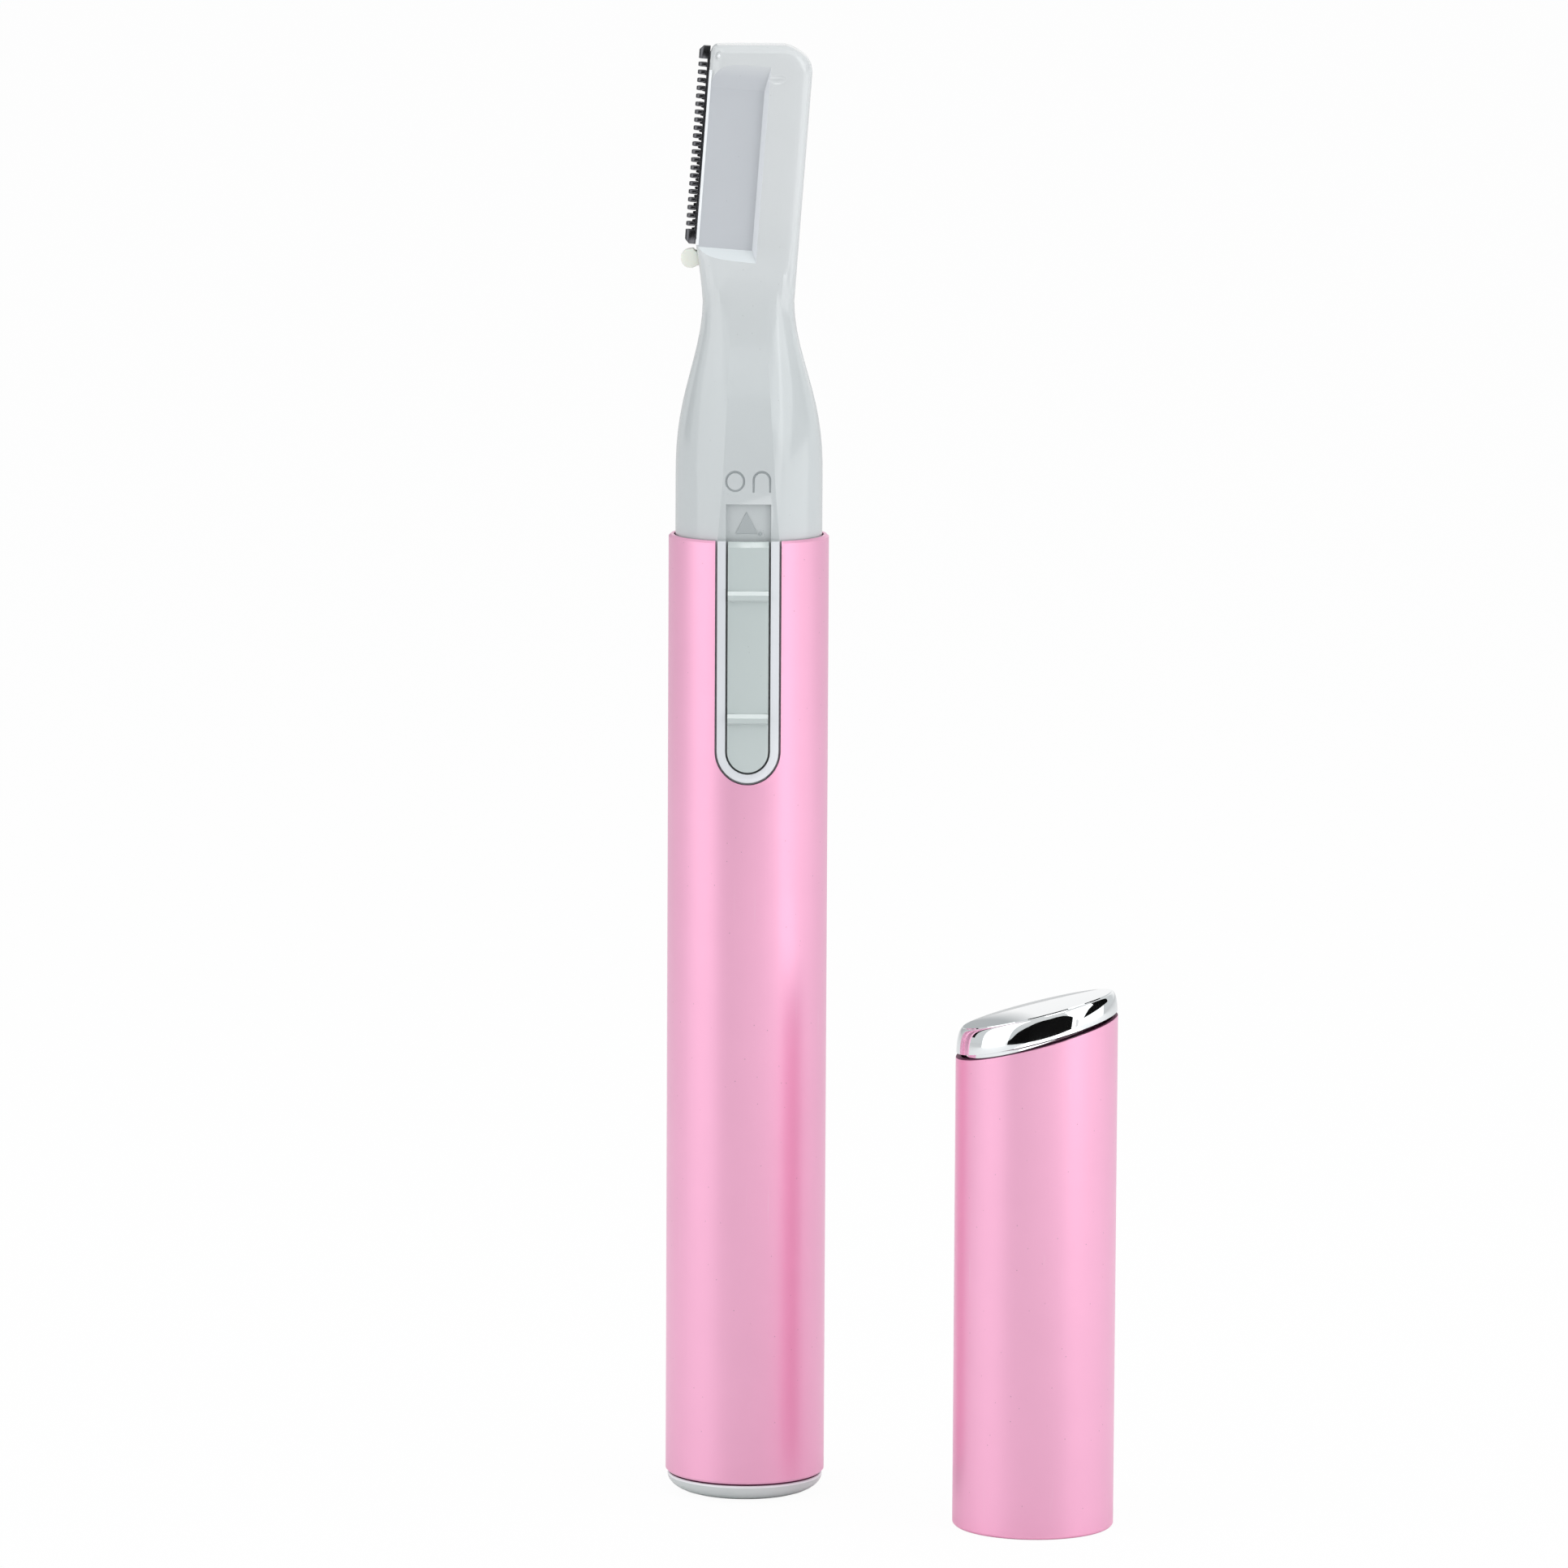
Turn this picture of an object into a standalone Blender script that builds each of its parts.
"""Facial hair trimmer, standing upright beside its cap.

Metres, +Z up. The origin is the middle of the barrel's flat foot, on the table.
The barrel's axis is Z, the switch faces -Y and the comb faces -X.
"""
import math

import bmesh
import bpy
from mathutils import Matrix, Vector

# Clearances
HAIR_GAP = 0.0001
SEAT_GAP = 0.0003
SHELL_SEAM = 0.0001

# Barrel tube and end plug
TUBE_RADIUS = 0.0075
TUBE_WALL = 0.0005
RIM_CHAMFER = 0.00015
PLUG_DOME = 0.0019
PLUG_SEAM = 0.00025
PLUG_TUCK = 0.00015
PLUG_FOOT_RADIUS = 0.0046
PLUG_SPIGOT = 0.0061
PLUG_WALL = 0.0011
PLUG_FIT = 0.00015

# Insert: collar, tray and shell walls
COLLAR_GAP = 0.00012
SHELL_WALL = 0.0009
TRAY_FLOOR = 0.0013
PARTITION = 0.0012
CELL_FIT = 0.0002

# AAA cell and its contacts
CELL_RADIUS = 0.00525
CELL_LENGTH = 0.0445
CELL_NUB_RADIUS = 0.0019
CELL_NUB = 0.0008
SPRING_WIRE = 0.00025
SPRING_LENGTH = 0.0048
SPRING_WIDE = 0.0034
SPRING_NARROW = 0.0022
SPRING_TURNS = 4.5
STRIP_THICKNESS = 0.0002
STRIP_HALF_WIDTH = 0.001
CONTACT_REACH = 0.003

# Switch
BUTTON_HALF_WIDTH = 0.00195
BUTTON_GAP = 0.00015
BEZEL_FRAME = 0.00078
BEZEL_TAIL = 0.00703
BEZEL_LENGTH = 0.02257
BEZEL_SINK = 0.00005
NOTCH_GAP = 0.00017
CHANNEL_FLOOR_DEPTH = 0.0016
CHANNEL_FLOOR_WALL = 0.0007
SWITCH_TRAVEL = 0.0033
RIDGE_HEIGHT = 0.00035
RIDGE_LENGTH = 0.001
RIDGE_TOP_DROP = 0.0046
RIDGE_SPACING = 0.0115
STEM_HALF_WIDTH = 0.0009
STEM_HEIGHT = 0.004
STEM_RISE = 0.0125
KEEPER_HALF_WIDTH = 0.0019
KEEPER_HEIGHT = 0.006
KEEPER_THICKNESS = 0.0006
BRIDGE_LENGTH = 0.0053
BRIDGE_THICKNESS = 0.00025

# Motor, a flat-sided can with its shaft on an axis a little behind the barrel's
MOTOR_BACK = 0.0005
MOTOR_RADIUS = 0.005
MOTOR_FLAT = 0.004
MOTOR_LENGTH = 0.015
MOTOR_WALL = 0.0003
MOTOR_RISE = 0.0032
END_BELL = 0.0014
SHAFT_RADIUS = 0.0005
ROTOR_RADIUS = 0.0032
ROTOR_POLES = 3
POLE_HALF_ANGLE = math.radians(42)
POLE_NECK = 0.0005
POLE_TIP = 0.0006
WINDING = 0.0006
MAGNET_THICKNESS = 0.00095
MAGNET_HALF_ANGLE = math.radians(46)
COMMUTATOR_RADIUS = 0.0012
COMMUTATOR_HEIGHT = 0.0018
BRUSH_HEIGHT = 0.001
ROTOR_HEADROOM = 0.0022
BUSH_RADIUS = 0.0014
RIB_THICKNESS = 0.001

# Cam and lever
CAM_OFFSET = 0.00055
CAM_PIN_RADIUS = 0.0005
CAM_PIN_LENGTH = 0.0028
CAM_HUB_RADIUS = 0.0016
CAM_HUB_HEIGHT = 0.0025
LEVER_ARM = 0.0092
LEVER_THICKNESS = 0.0018
LEVER_HUB_RADIUS = 0.0016
LEVER_PIVOT_X = 0.0012
FORK_PRONG = 0.0009
FORK_SPARE = 0.00015
ARM_HALF_WIDTH = 0.0007
TIP_RADIUS = 0.0005
PIVOT_PIN_RADIUS = 0.0006
PIVOT_BOSS_RADIUS = 0.0014

# Neck
COLLAR_HEIGHT = 0.0054
COLLAR_FACET = 0.00245
NECK_SKEW = 1.25
WAIST_DROP = 0.0005
WAIST_LEFT = 0.0044
WAIST_DEPTH = 0.00375
WAIST_POWER = 2.8
WAIST_FACET = 0.0015
NECK_FLARE = 0.00535
FLARE_SKEW = 1.3

# Head, which leans towards +X; its own axes are across (x), front to back (y), along (z)
HEAD_LEAN = math.radians(4.2)
BLADE_OFFSET = 0.00506
HEAD_WIDTH = 0.0096
HEAD_DEPTH = 0.0028
HEAD_POWER = 5.0
HEAD_LIP = 0.00018
TOP_LEFT_ROUND = 0.0007
TOP_RIGHT_ROUND = 0.0024
TOP_EDGE_ROUND = 0.0009
PANEL_WIDTH = 0.00572
PANEL_DEPTH = 0.0008
PANEL_BEVEL = 0.00085
PANEL_BASE = -0.00015
PANEL_TOP_BAND = 0.0014

# Comb and cutter
COMB_TEETH = 21
COMB_PITCH = 0.00076
COMB_SLOT = 0.0003
COMB_FIRST_TOOTH = 0.00135
COMB_LOW_END = -0.00005
COMB_HIGH_BLOCK = 0.00135
COMB_REACH = 0.00085
COMB_ROOT = 0.0002
COMB_FLANGE = 0.0016
COMB_HALF_THICKNESS = 0.00045
COMB_STEEL = 0.00018
COMB_SHOULDER = 0.00045
CUTTER_HALF_THICKNESS = 0.00015
CUTTER_REACH = 0.0005
CUTTER_TOOTH_ROOT = 0.00012
CUTTER_TOOTH_HALF = 0.00017
CUTTER_WIDTH = 0.0026
CARRIER_HALF_THICKNESS = 0.00085
CARRIER_WIDTH = 0.0017
CARRIER_GAP = 0.00025
FOOT_RADIUS = 0.00097
FOOT_X = -0.0002
FOOT_Z = -0.0014
STEM_BAR_HALF = 0.0005
CROTCH_X = 0.0028
CROTCH_LIP = 0.0006
CROTCH_WEB = 0.00045
LEAF_THICKNESS = 0.0002
LEAF_BOW = 0.00075
LEAF_HALF_LENGTH = 0.006
LEAF_HALF_WIDTH = 0.0007
CARRIER_ROOM = 0.0013

# Cap
CAP_X = 0.02695
CAP_Y = -0.01494
CAP_HEADROOM = 0.0004
CAP_SLANT = math.radians(15.3)
CAP_INSERT_HEIGHT = 0.0021
CAP_INSERT_FIT = 0.00012
CAP_INSERT_INSET = 0.0002
CAP_INSERT_WALL = 0.0006
CAP_INSERT_SKIRT = 0.0022
CAP_INSERT_ROUND = 0.0008

# Smoothness
TUBE_STEPS = 64
SMALL_STEPS = 24
SIDE_POINTS = 41
FACET_POINTS = 4
NECK_RINGS = 12
ARC_STEPS = 8
SHAFT_STEPS = 16
SPRING_STEPS = 10
REACH = 0.02

# Barrel heights
TUBE_BORE = TUBE_RADIUS - TUBE_WALL
TUBE_BOTTOM = PLUG_DOME
PLUG_TOP = TUBE_BOTTOM + PLUG_SPIGOT

# Insert heights, from the barrel's foot to the top of the head
COLLAR_RADIUS = TUBE_BORE - COLLAR_GAP
TRAY_BOTTOM = PLUG_TOP + SEAT_GAP
TRAY_INSIDE = TRAY_BOTTOM + TRAY_FLOOR
TRAY_RADIUS = CELL_RADIUS + CELL_FIT
STRIP_FOOT = TRAY_INSIDE + HAIR_GAP
SPRING_BOTTOM = STRIP_FOOT + STRIP_THICKNESS + HAIR_GAP
CELL_BOTTOM = SPRING_BOTTOM + SPRING_LENGTH + HAIR_GAP
CELL_TOP = CELL_BOTTOM + CELL_LENGTH
CONTACT_BOTTOM = CELL_TOP + HAIR_GAP
PARTITION_BOTTOM = CONTACT_BOTTOM + STRIP_THICKNESS + SEAT_GAP
PARTITION_TOP = PARTITION_BOTTOM + PARTITION
FRONT_SHELL_BOTTOM = PARTITION_TOP + SEAT_GAP
BEZEL_HALF_WIDTH = BUTTON_HALF_WIDTH + BUTTON_GAP + BEZEL_FRAME
CHANNEL_HALF_WIDTH = BUTTON_HALF_WIDTH + BUTTON_GAP
BEZEL_BOTTOM = FRONT_SHELL_BOTTOM + BEZEL_TAIL
BEZEL_ROUND_Z = BEZEL_BOTTOM + BEZEL_HALF_WIDTH
RIM = BEZEL_BOTTOM + BEZEL_LENGTH
BUTTON_TOP = RIM - BEZEL_SINK
CHANNEL_TOP = BUTTON_TOP + SWITCH_TRAVEL + BUTTON_GAP
CHANNEL_FLOOR = TUBE_RADIUS - CHANNEL_FLOOR_DEPTH
CHANNEL_BACK = CHANNEL_FLOOR - CHANNEL_FLOOR_WALL
STEM_Z = BEZEL_BOTTOM + STEM_RISE
KEEPER_FRONT = CHANNEL_BACK - 2 * HAIR_GAP
KEEPER_BACK = KEEPER_FRONT - KEEPER_THICKNESS
BRIDGE_FRONT = KEEPER_BACK - SEAT_GAP
BRIDGE_BACK = BRIDGE_FRONT - BRIDGE_THICKNESS
FEED_FRONT = BRIDGE_BACK - 2 * HAIR_GAP
FEED_BACK = FEED_FRONT - STRIP_THICKNESS

# The bridge always lies on the cell's strip and reaches the motor's strip when on
BRIDGE_TOP = STEM_Z + 0.15 * BRIDGE_LENGTH
BRIDGE_BOTTOM = BRIDGE_TOP - BRIDGE_LENGTH
CELL_STRIP_TOP = BRIDGE_TOP - 4 * SEAT_GAP
FEED_STRIP_BOTTOM = BRIDGE_TOP + SEAT_GAP + HAIR_GAP
MOTOR_BOTTOM = STEM_Z + MOTOR_RISE
MOTOR_TOP = MOTOR_BOTTOM + MOTOR_LENGTH
FEED_STRIP_TOP = MOTOR_BOTTOM - SEAT_GAP
BRUSH_LOW = MOTOR_BOTTOM + 2 * END_BELL
ROTOR_BASE = BRUSH_LOW + COMMUTATOR_HEIGHT
ROTOR_TOP = MOTOR_TOP - ROTOR_HEADROOM
BUSH_TOP = MOTOR_TOP + 2 * SEAT_GAP
CAM_BOTTOM = BUSH_TOP + SEAT_GAP
CAM_PIN_BOTTOM = CAM_BOTTOM + CAM_HUB_HEIGHT
CAM_PIN_TOP = CAM_PIN_BOTTOM + CAM_PIN_LENGTH
FORK_BOTTOM = CAM_PIN_BOTTOM + SEAT_GAP + HAIR_GAP
FORK_HALF_SLOT = 2 * CAM_OFFSET + CAM_PIN_RADIUS + FORK_SPARE
PIVOT_Z = (FORK_BOTTOM + CAM_PIN_TOP) / 2 + LEVER_ARM
WAIST = PIVOT_Z - WAIST_DROP
HEAD_BASE = WAIST + NECK_FLARE
COLLAR_TOP = RIM + COLLAR_HEIGHT

# Sizes along the head's own axes, from the lower end of the blade's edge
COMB_LAST_TOOTH = COMB_FIRST_TOOTH + (COMB_TEETH - 1) * COMB_PITCH
COMB_LENGTH = COMB_LAST_TOOTH + COMB_PITCH / 2 + COMB_SLOT / 2 + COMB_HIGH_BLOCK
FLANGE_LOW = COMB_LOW_END + COMB_SHOULDER
FLANGE_HIGH = COMB_LENGTH - COMB_SHOULDER - HAIR_GAP
CAVITY_TOP = FLANGE_HIGH + HAIR_GAP
CAVITY_HALF_DEPTH = CARRIER_HALF_THICKNESS + CARRIER_GAP
CARRIER_LEFT = COMB_FLANGE + SEAT_GAP
CARRIER_RIGHT = CARRIER_LEFT + CARRIER_WIDTH
CAVITY_RIGHT = CARRIER_RIGHT + CARRIER_ROOM
CROTCH_TOP = FOOT_Z - STEM_BAR_HALF
CROTCH_HALF = TIP_RADIUS + HAIR_GAP
TIP_Z = CROTCH_TOP - CROTCH_HALF
CROTCH_BOTTOM = TIP_Z - CROTCH_HALF
LIP_BOTTOM = CROTCH_BOTTOM - CROTCH_LIP
CROTCH_LEFT = CROTCH_X - TIP_RADIUS - CARRIER_GAP
CUTTER_TRAVEL = 0.00023
HEAD_TOP = HEAD_BASE + (COMB_LENGTH + HEAD_LIP) * math.cos(HEAD_LEAN)

# The cap stands where it was put down, and is long enough to close over the head
CAP_MIDDLE = HEAD_TOP - RIM + CAP_HEADROOM

# Colours as red, green and blue, with roughness and metallic
PINK_ALUMINIUM = ("pink_aluminium", (0.86, 0.42, 0.63), 0.32, 0.9)
GREY_PLASTIC = ("grey_plastic", (0.62, 0.67, 0.69), 0.42, 0.0)
BUTTON_PLASTIC = ("button_plastic", (0.56, 0.62, 0.62), 0.45, 0.0)
WHITE_PLASTIC = ("white_plastic", (0.85, 0.86, 0.85), 0.35, 0.0)
DARK_PLASTIC = ("dark_plastic", (0.06, 0.06, 0.07), 0.5, 0.0)
CHROME = ("chrome", (0.82, 0.82, 0.84), 0.08, 1.0)
BLADE_STEEL = ("blade_steel", (0.25, 0.25, 0.26), 0.3, 1.0)
BRIGHT_STEEL = ("bright_steel", (0.6, 0.6, 0.61), 0.28, 1.0)
CAN_STEEL = ("can_steel", (0.5, 0.5, 0.5), 0.35, 1.0)
MAGNET_GREY = ("magnet_grey", (0.12, 0.12, 0.13), 0.6, 0.2)
COPPER = ("copper", (0.72, 0.38, 0.22), 0.35, 1.0)
BRASS = ("brass", (0.75, 0.6, 0.3), 0.3, 1.0)
CELL_JACKET = ("cell_jacket", (0.1, 0.1, 0.12), 0.35, 0.3)


# Scene and material helpers
def clear_scene():
    for obj in list(bpy.data.objects):
        bpy.data.objects.remove(obj, do_unlink=True)


def new_collection(name):
    collection = bpy.data.collections.new(name)
    bpy.context.scene.collection.children.link(collection)
    return collection


def material_for(finish):
    name, color, roughness, metallic = finish
    found = bpy.data.materials.get(name)
    if found:
        return found
    made = bpy.data.materials.new(name)
    made.use_nodes = True
    made.diffuse_color = (*color, 1.0)
    shader = made.node_tree.nodes["Principled BSDF"]
    shader.inputs["Base Color"].default_value = (*color, 1.0)
    shader.inputs["Roughness"].default_value = roughness
    shader.inputs["Metallic"].default_value = metallic
    return made


clear_scene()
PARTS = new_collection("facial_hair_trimmer")
CUTTERS = new_collection("cutters")


def part(name, mesh, finish, parent=None):
    """A named sub-part with its material."""
    mesh.name = name
    obj = bpy.data.objects.new(name, mesh)
    obj.data.materials.clear()
    obj.data.materials.append(material_for(finish))
    obj.parent = parent
    PARTS.objects.link(obj)
    return obj


def shape(name, mesh, parent=None):
    """A guide or cutter that other pieces are joined to or cut by."""
    obj = bpy.data.objects.new(name, mesh)
    obj.parent = parent
    obj.display_type = "WIRE"
    obj.hide_render = True
    CUTTERS.objects.link(obj)
    return obj


def axis_empty(name, location, lean=0.0):
    """An empty on a joint's axis or at the head's own axes."""
    empty = bpy.data.objects.new(name, None)
    empty.location = location
    empty.rotation_euler = (0.0, lean, 0.0)
    empty.empty_display_size = 0.002
    CUTTERS.objects.link(empty)
    return empty


def combine(obj, other, operation):
    modifier = obj.modifiers.new(other.name, "BOOLEAN")
    modifier.operation = operation
    modifier.solver = "EXACT"
    modifier.object = other


def add(obj, *others):
    for other in others:
        combine(obj, other, "UNION")


def cut(obj, *others):
    for other in others:
        combine(obj, other, "DIFFERENCE")


def keep(obj, other):
    combine(obj, other, "INTERSECT")


def baked(obj):
    """The evaluated mesh of an object, as a new mesh."""
    graph = bpy.context.evaluated_depsgraph_get()
    return bpy.data.meshes.new_from_object(obj.evaluated_get(graph))


def smooth(mesh, degrees=35):
    mesh.shade_smooth()
    mesh.set_sharp_from_angle(angle=math.radians(degrees))
    return mesh


def mesh_from(bm, name):
    mesh = bpy.data.meshes.new(name)
    bmesh.ops.recalc_face_normals(bm, faces=bm.faces)
    bm.to_mesh(mesh)
    bm.free()
    return mesh


def box(low, high):
    low = Vector(low)
    high = Vector(high)
    bm = bmesh.new()
    bmesh.ops.create_cube(bm, size=1.0)
    size = high - low
    fit = Matrix.Translation((low + high) / 2) @ Matrix.Diagonal((*size, 1.0))
    bmesh.ops.transform(bm, matrix=fit, verts=bm.verts)
    return mesh_from(bm, "box")


def rod(radius, low, high, along="Z", middle=(0.0, 0.0), steps=SMALL_STEPS):
    """A round rod between two places along X, Y or Z."""
    bm = bmesh.new()
    bmesh.ops.create_cone(bm, cap_ends=True, segments=steps, radius1=radius,
                          radius2=radius, depth=high - low)
    centre = (low + high) / 2
    if along == "Y":
        turn = Matrix.Rotation(math.radians(90), 4, "X")
        place = Matrix.Translation((middle[0], centre, middle[1]))
    elif along == "X":
        turn = Matrix.Rotation(math.radians(90), 4, "Y")
        place = Matrix.Translation((centre, middle[0], middle[1]))
    else:
        turn = Matrix.Identity(4)
        place = Matrix.Translation((middle[0], middle[1], centre))
    bmesh.ops.transform(bm, matrix=place @ turn, verts=bm.verts)
    return smooth(mesh_from(bm, "rod"))


OUTLINE_AXES = {
    "Z": Matrix(((1, 0, 0, 0), (0, 1, 0, 0), (0, 0, 1, 0), (0, 0, 0, 1))),
    "Y": Matrix(((1, 0, 0, 0), (0, 0, -1, 0), (0, 1, 0, 0), (0, 0, 0, 1))),
    "X": Matrix(((0, 0, 1, 0), (1, 0, 0, 0), (0, 1, 0, 0), (0, 0, 0, 1))),
}


def outline(loops, low, high, along="Z"):
    """A flat outline drawn as a 2D curve and given thickness along one axis.

    Loops are lists of (x, y) for Z, (x, z) for Y and (y, z) for X. A loop inside
    another is a hole.
    """
    curve = bpy.data.curves.new("outline", "CURVE")
    curve.dimensions = "2D"
    curve.fill_mode = "BOTH"
    curve.extrude = (high - low) / 2
    for loop in loops:
        spline = curve.splines.new("POLY")
        spline.points.add(len(loop) - 1)
        for point, (a, b) in zip(spline.points, loop):
            point.co = (a, b, 0.0, 1.0)
        spline.use_cyclic_u = True
    drawn = bpy.data.objects.new("outline", curve)
    CUTTERS.objects.link(drawn)
    mesh = baked(drawn)
    bm = bmesh.new()
    bm.from_mesh(mesh)
    bmesh.ops.remove_doubles(bm, verts=bm.verts, dist=1e-7)
    middle = (low + high) / 2
    offset = {"Z": (0, 0, middle), "Y": (0, middle, 0), "X": (middle, 0, 0)}[along]
    turn = Matrix.Translation(offset) @ OUTLINE_AXES[along] @ drawn.matrix_world
    bmesh.ops.transform(bm, matrix=turn, verts=bm.verts)
    bpy.data.objects.remove(drawn, do_unlink=True)
    bpy.data.curves.remove(curve)
    return mesh_from(bm, "outline")


def loft(rings):
    """A closed solid through rings of points that run anticlockwise from above."""
    bm = bmesh.new()
    rows = [[bm.verts.new(point) for point in ring] for ring in rings]
    for lower, upper in zip(rows, rows[1:]):
        for i, vert in enumerate(lower):
            j = (i + 1) % len(lower)
            bm.faces.new((vert, lower[j], upper[j], upper[i]))
    bm.faces.new(list(reversed(rows[0])))
    bm.faces.new(rows[-1])
    bmesh.ops.triangulate(bm, faces=bm.faces)
    return mesh_from(bm, "loft")


def turned(obj, steps=TUBE_STEPS):
    """Turns a profile drawn in the XZ plane round the Z axis."""
    screw = obj.modifiers.new("turned", "SCREW")
    screw.axis = "Z"
    screw.steps = steps
    screw.render_steps = steps
    screw.use_merge_vertices = True
    screw.merge_threshold = 1e-6
    screw.use_smooth_shade = True
    return obj


def profile(points, closed):
    mesh = bpy.data.meshes.new("profile")
    edges = [(i, i + 1) for i in range(len(points) - 1)]
    if closed:
        edges.append((len(points) - 1, 0))
    mesh.from_pydata([(x, 0.0, z) for x, z in points], edges, [])
    return mesh


def arc(cx, cy, radius, start, end, steps=ARC_STEPS):
    """Points on an arc from one angle to another, in degrees."""
    points = []
    for i in range(steps + 1):
        angle = math.radians(start + (end - start) * i / steps)
        points.append((cx + radius * math.cos(angle), cy + radius * math.sin(angle)))
    return points


def ring_loop(cx, cy, radius, steps=SMALL_STEPS):
    return arc(cx, cy, radius, 0.0, 360.0 * (steps - 1) / steps, steps - 1)


def mix(a, b, t):
    return a + (b - a) * t


# Barrel
def round_end_outline(half_width, round_z, top):
    """A slot with a round lower end, as used by notch, bezel, channel and button."""
    return arc(0.0, round_z, half_width, 180.0, 360.0, 2 * ARC_STEPS) + [
        (half_width, top), (-half_width, top)]


def make_barrel_tube():
    outer = TUBE_RADIUS
    inner = TUBE_BORE
    edge = RIM_CHAMFER
    points = [(inner, RIM), (outer - edge, RIM), (outer, RIM - edge),
              (outer, TUBE_BOTTOM + edge), (outer - edge, TUBE_BOTTOM),
              (inner, TUBE_BOTTOM)]
    tube = turned(part("barrel_tube", profile(points, True), PINK_ALUMINIUM))
    notch = outline([round_end_outline(BEZEL_HALF_WIDTH + NOTCH_GAP, BEZEL_ROUND_Z,
                                       RIM + REACH)], -REACH, 0.0, "Y")
    cut(tube, shape("rim_notch", notch))


def make_end_plug():
    outer = TUBE_RADIUS - PLUG_TUCK
    spigot = TUBE_BORE - PLUG_FIT
    flange = TUBE_BOTTOM - PLUG_SEAM
    points = [(0.0, flange), (spigot - PLUG_WALL, flange), (spigot - PLUG_WALL, PLUG_TOP),
              (spigot, PLUG_TOP), (spigot, flange), (outer, flange)]
    for i in range(1, ARC_STEPS + 1):
        angle = math.radians(90) * i / ARC_STEPS
        points.append((mix(PLUG_FOOT_RADIUS, outer, math.cos(angle)),
                       flange * (1 - math.sin(angle))))
    points.append((0.0, 0.0))
    turned(part("barrel_end_plug", profile(points, False), GREY_PLASTIC))


# Insert: the outer form of collar, neck and head
def top_inset(z, radius):
    """How far a rounded corner draws in at height z."""
    rise = z - (HEAD_TOP - radius)
    if rise <= 0.0:
        return 0.0
    return radius - math.sqrt(max(radius * radius - rise * rise, 0.0))


def body_section(z):
    """Left, right and half depth of the body, its squareness and its front facet."""
    lean = (z - HEAD_BASE) * math.tan(HEAD_LEAN)
    head_right = HEAD_WIDTH - BLADE_OFFSET + lean
    if z <= COLLAR_TOP:
        facet = mix(BEZEL_HALF_WIDTH, COLLAR_FACET, max(z - RIM, 0.0) / COLLAR_HEIGHT)
        return COLLAR_RADIUS, COLLAR_RADIUS, COLLAR_RADIUS, 2.0, facet
    if z <= WAIST:
        t = (z - COLLAR_TOP) / (WAIST - COLLAR_TOP)
        s = (1 - math.cos(math.pi * t ** NECK_SKEW)) / 2
        waist_right = HEAD_WIDTH - BLADE_OFFSET - NECK_FLARE * math.tan(HEAD_LEAN)
        return (mix(COLLAR_RADIUS, WAIST_LEFT, s), mix(COLLAR_RADIUS, waist_right, s),
                mix(COLLAR_RADIUS, WAIST_DEPTH, s), mix(2.0, WAIST_POWER, s),
                mix(COLLAR_FACET, WAIST_FACET, t))
    if z <= HEAD_BASE:
        t = (z - WAIST) / NECK_FLARE
        s = (1 - math.cos(math.pi * t)) / 2
        return (mix(WAIST_LEFT, BLADE_OFFSET, t ** FLARE_SKEW), head_right,
                mix(WAIST_DEPTH, HEAD_DEPTH, s), mix(WAIST_POWER, HEAD_POWER, t),
                WAIST_FACET)
    return (BLADE_OFFSET - lean - top_inset(z, TOP_LEFT_ROUND),
            head_right - top_inset(z, TOP_RIGHT_ROUND),
            HEAD_DEPTH - top_inset(z, TOP_EDGE_ROUND), HEAD_POWER, WAIST_FACET)


def section_ring(z, wall=0.0, flat=True):
    """Points round the body at height z, anticlockwise from the facet's right end."""
    left, right, depth, power, facet = body_section(z)
    half = (left + right) / 2 - wall
    middle = (right - left) / 2
    depth = depth - wall
    corner = math.acos(min(facet / half, 0.6) ** (power / 2))
    points = []
    for i in range(SIDE_POINTS + FACET_POINTS):
        if i < SIDE_POINTS:
            angle = mix(-corner, math.pi + corner, i / (SIDE_POINTS - 1))
        else:
            step = (i - SIDE_POINTS + 1) / (FACET_POINTS + 1)
            angle = mix(math.pi + corner, 2 * math.pi - corner, step)
        c = math.cos(angle)
        s = math.sin(angle)
        x = half * math.copysign(abs(c) ** (2 / power), c)
        y = depth * math.copysign(abs(s) ** (2 / power), s)
        if flat and i >= SIDE_POINTS:
            y = points[0][1]
        points.append((middle + x, y, z))
    return points


def body_heights():
    neck = [mix(COLLAR_TOP, WAIST, i / NECK_RINGS) for i in range(NECK_RINGS + 1)]
    flare = [mix(WAIST, HEAD_BASE, i / 4) for i in range(1, 5)]
    round_start = HEAD_TOP - TOP_RIGHT_ROUND
    rounding = [HEAD_TOP - TOP_RIGHT_ROUND * (1 - math.sin(math.radians(a)))
                for a in (25, 45, 60, 72, 82, 90)]
    return neck + flare + [round_start] + rounding


def body_solid():
    """Collar, neck and head as one solid, round inside the barrel."""
    rings = []
    for z in (TRAY_BOTTOM, RIM - HAIR_GAP):
        rings.append(section_ring(z, flat=False))
    for z in [RIM] + body_heights():
        rings.append(section_ring(z))
    return loft(rings)


def neck_hollow():
    """The hollow of collar and neck, one wall inside the outer form."""
    heights = [PARTITION_TOP - PARTITION / 2, RIM] + body_heights()[:NECK_RINGS + 4]
    return loft([section_ring(z, wall=SHELL_WALL, flat=False) for z in heights])


def motor_outline(spare=0.0):
    """The can's round sides and two flats, about its own axis."""
    radius = MOTOR_RADIUS + spare
    flat = MOTOR_FLAT + spare
    turn = math.degrees(math.asin(flat / radius))
    return (arc(0.0, MOTOR_BACK, radius, -turn, turn)
            + arc(0.0, MOTOR_BACK, radius, 180 - turn, 180 + turn))


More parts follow.
